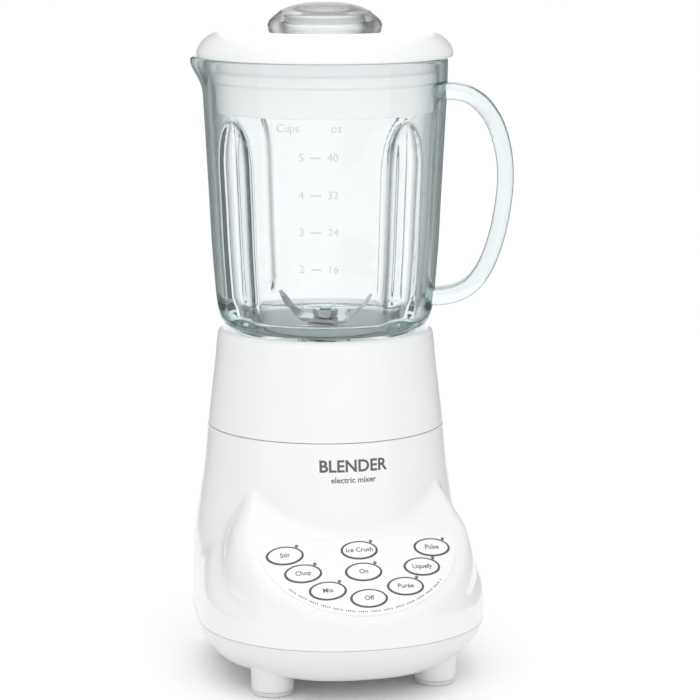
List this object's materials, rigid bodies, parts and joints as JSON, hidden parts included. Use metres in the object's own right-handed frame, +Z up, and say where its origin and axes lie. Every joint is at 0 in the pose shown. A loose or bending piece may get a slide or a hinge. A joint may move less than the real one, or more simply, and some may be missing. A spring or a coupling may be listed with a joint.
{
  "type": "countertop blender",
  "caption": "Countertop blender: white motor base with a sloping button panel, white locking ring, fluted glass jar with strap handle, white lid and clear measuring cap.",
  "frame": {"origin": "centre of the whole object's box, on the surface that it stands on", "axes": "+Z up, -Y out of the front of the base, +X to the right, towards the jar's handle"},
  "size_m": [0.1864, 0.198, 0.381],
  "materials": {
    "white_plastic": "glossy white moulded plastic",
    "panel_film": "smooth white printed panel face",
    "clear_plastic": "clear moulded plastic",
    "glass": "clear pressed glass",
    "grey_plastic": "grey moulded plastic",
    "black_plastic": "black moulded nylon",
    "rubber": "black rubber",
    "white_rubber": "soft white rubber",
    "steel": "stainless and plated steel",
    "lamination": "stacked steel sheets",
    "copper": "copper winding and segments",
    "bronze": "sintered bronze",
    "carbon": "pressed carbon",
    "board": "green circuit board"
  },
  "bodies": {
    "base": {"housing": "white_plastic", "bottom_cover": "white_plastic", "panel_overlay": "panel_film", "keypad_membrane": "rubber", "circuit_board": "board", "motor_top_bracket": "black_plastic", "motor_bottom_bracket": "black_plastic", "stator_core": "lamination", "field_coil_left": "copper", "field_coil_right": "copper", "bearing_upper": "bronze", "bearing_lower": "bronze", "carbon_brush_left": "carbon", "carbon_brush_right": "carbon", "brush_holder_left": "black_plastic", "brush_holder_right": "black_plastic", "splash_seal": "rubber", "cord_gland": "rubber", "motor_screw_left": "steel", "motor_screw_right": "steel", "foot_pad_front_left": "white_rubber", "housing_screw_front_left": "steel", "foot_pad_front_right": "white_rubber", "housing_screw_front_right": "steel", "foot_pad_rear_left": "white_rubber", "housing_screw_rear_left": "steel", "foot_pad_rear_right": "white_rubber", "housing_screw_rear_right": "steel"},
    "rotor": {"motor_shaft": "steel", "armature_core": "lamination", "commutator": "copper", "cooling_fan": "black_plastic", "drive_coupling": "black_plastic"},
    "collar": {"locking_ring": "white_plastic", "blade_housing": "grey_plastic", "shaft_bush_upper": "bronze", "shaft_bush_lower": "bronze", "shaft_seal": "rubber", "jar_gasket": "white_rubber"},
    "blades": {"blade_shaft": "steel", "blade_lower": "steel", "blade_upper": "steel", "blade_nut": "steel", "jar_coupling": "black_plastic"},
    "jar": {"glass_jar": "glass"},
    "lid_body": {"lid": "white_plastic"},
    "cap_body": {"measuring_cap": "clear_plastic"},
    "button_stir_body": {"button_stir": "panel_film"},
    "button_chop_body": {"button_chop": "panel_film"},
    "button_mix_body": {"button_mix": "panel_film"},
    "button_ice_crush_body": {"button_ice_crush": "panel_film"},
    "button_on_body": {"button_on": "panel_film"},
    "button_off_body": {"button_off": "panel_film"},
    "button_pulse_body": {"button_pulse": "panel_film"},
    "button_liquify_body": {"button_liquify": "panel_film"},
    "button_puree_body": {"button_puree": "panel_film"}
  },
  "joints": [
    {"name": "motor_spin", "type": "hinge", "parent": "base", "child": "rotor", "pos_m": [-0.01202, 0.016, 0.091], "axis": [0, 0, 1], "continuous": true},
    {"name": "jar_lift", "type": "slide", "parent": "base", "child": "collar", "axis": [0, 0, 1], "range_m": [0, 0.1]},
    {"name": "blade_spin", "type": "hinge", "parent": "collar", "child": "blades", "pos_m": [-0.01202, 0.016, 0.185], "axis": [0, 0, 1], "continuous": true},
    {"name": "jar_unscrew", "type": "slide", "parent": "collar", "child": "jar", "axis": [0, 0, 1], "range_m": [0, 0.08]},
    {"name": "lid_lift", "type": "slide", "parent": "jar", "child": "lid_body", "axis": [0, 0, 1], "range_m": [0, 0.08]},
    {"name": "cap_lift", "type": "slide", "parent": "lid_body", "child": "cap_body", "axis": [0, 0, 1], "range_m": [0, 0.05]},
    {"name": "press_stir", "type": "slide", "parent": "base", "child": "button_stir_body", "axis": [0, 0.6849, -0.7286], "range_m": [0, 0.0008], "stiffness_N_per_m": 600, "springref_m": -0.0003},
    {"name": "press_chop", "type": "slide", "parent": "base", "child": "button_chop_body", "axis": [0, 0.6849, -0.7286], "range_m": [0, 0.0008], "stiffness_N_per_m": 600, "springref_m": -0.0003},
    {"name": "press_mix", "type": "slide", "parent": "base", "child": "button_mix_body", "axis": [0, 0.6849, -0.7286], "range_m": [0, 0.0008], "stiffness_N_per_m": 600, "springref_m": -0.0003},
    {"name": "press_ice_crush", "type": "slide", "parent": "base", "child": "button_ice_crush_body", "axis": [0, 0.6849, -0.7286], "range_m": [0, 0.0008], "stiffness_N_per_m": 600, "springref_m": -0.0003},
    {"name": "press_on", "type": "slide", "parent": "base", "child": "button_on_body", "axis": [0, 0.6849, -0.7286], "range_m": [0, 0.0008], "stiffness_N_per_m": 600, "springref_m": -0.0003},
    {"name": "press_off", "type": "slide", "parent": "base", "child": "button_off_body", "axis": [0, 0.6849, -0.7286], "range_m": [0, 0.0008], "stiffness_N_per_m": 600, "springref_m": -0.0003},
    {"name": "press_pulse", "type": "slide", "parent": "base", "child": "button_pulse_body", "axis": [0, 0.6849, -0.7286], "range_m": [0, 0.0008], "stiffness_N_per_m": 600, "springref_m": -0.0003},
    {"name": "press_liquify", "type": "slide", "parent": "base", "child": "button_liquify_body", "axis": [0, 0.6849, -0.7286], "range_m": [0, 0.0008], "stiffness_N_per_m": 600, "springref_m": -0.0003},
    {"name": "press_puree", "type": "slide", "parent": "base", "child": "button_puree_body", "axis": [0, 0.6849, -0.7286], "range_m": [0, 0.0008], "stiffness_N_per_m": 600, "springref_m": -0.0003}
  ],
  "couplings": [
    {"joint": "blade_spin", "follows": "motor_spin", "ratio": 1}
  ]
}
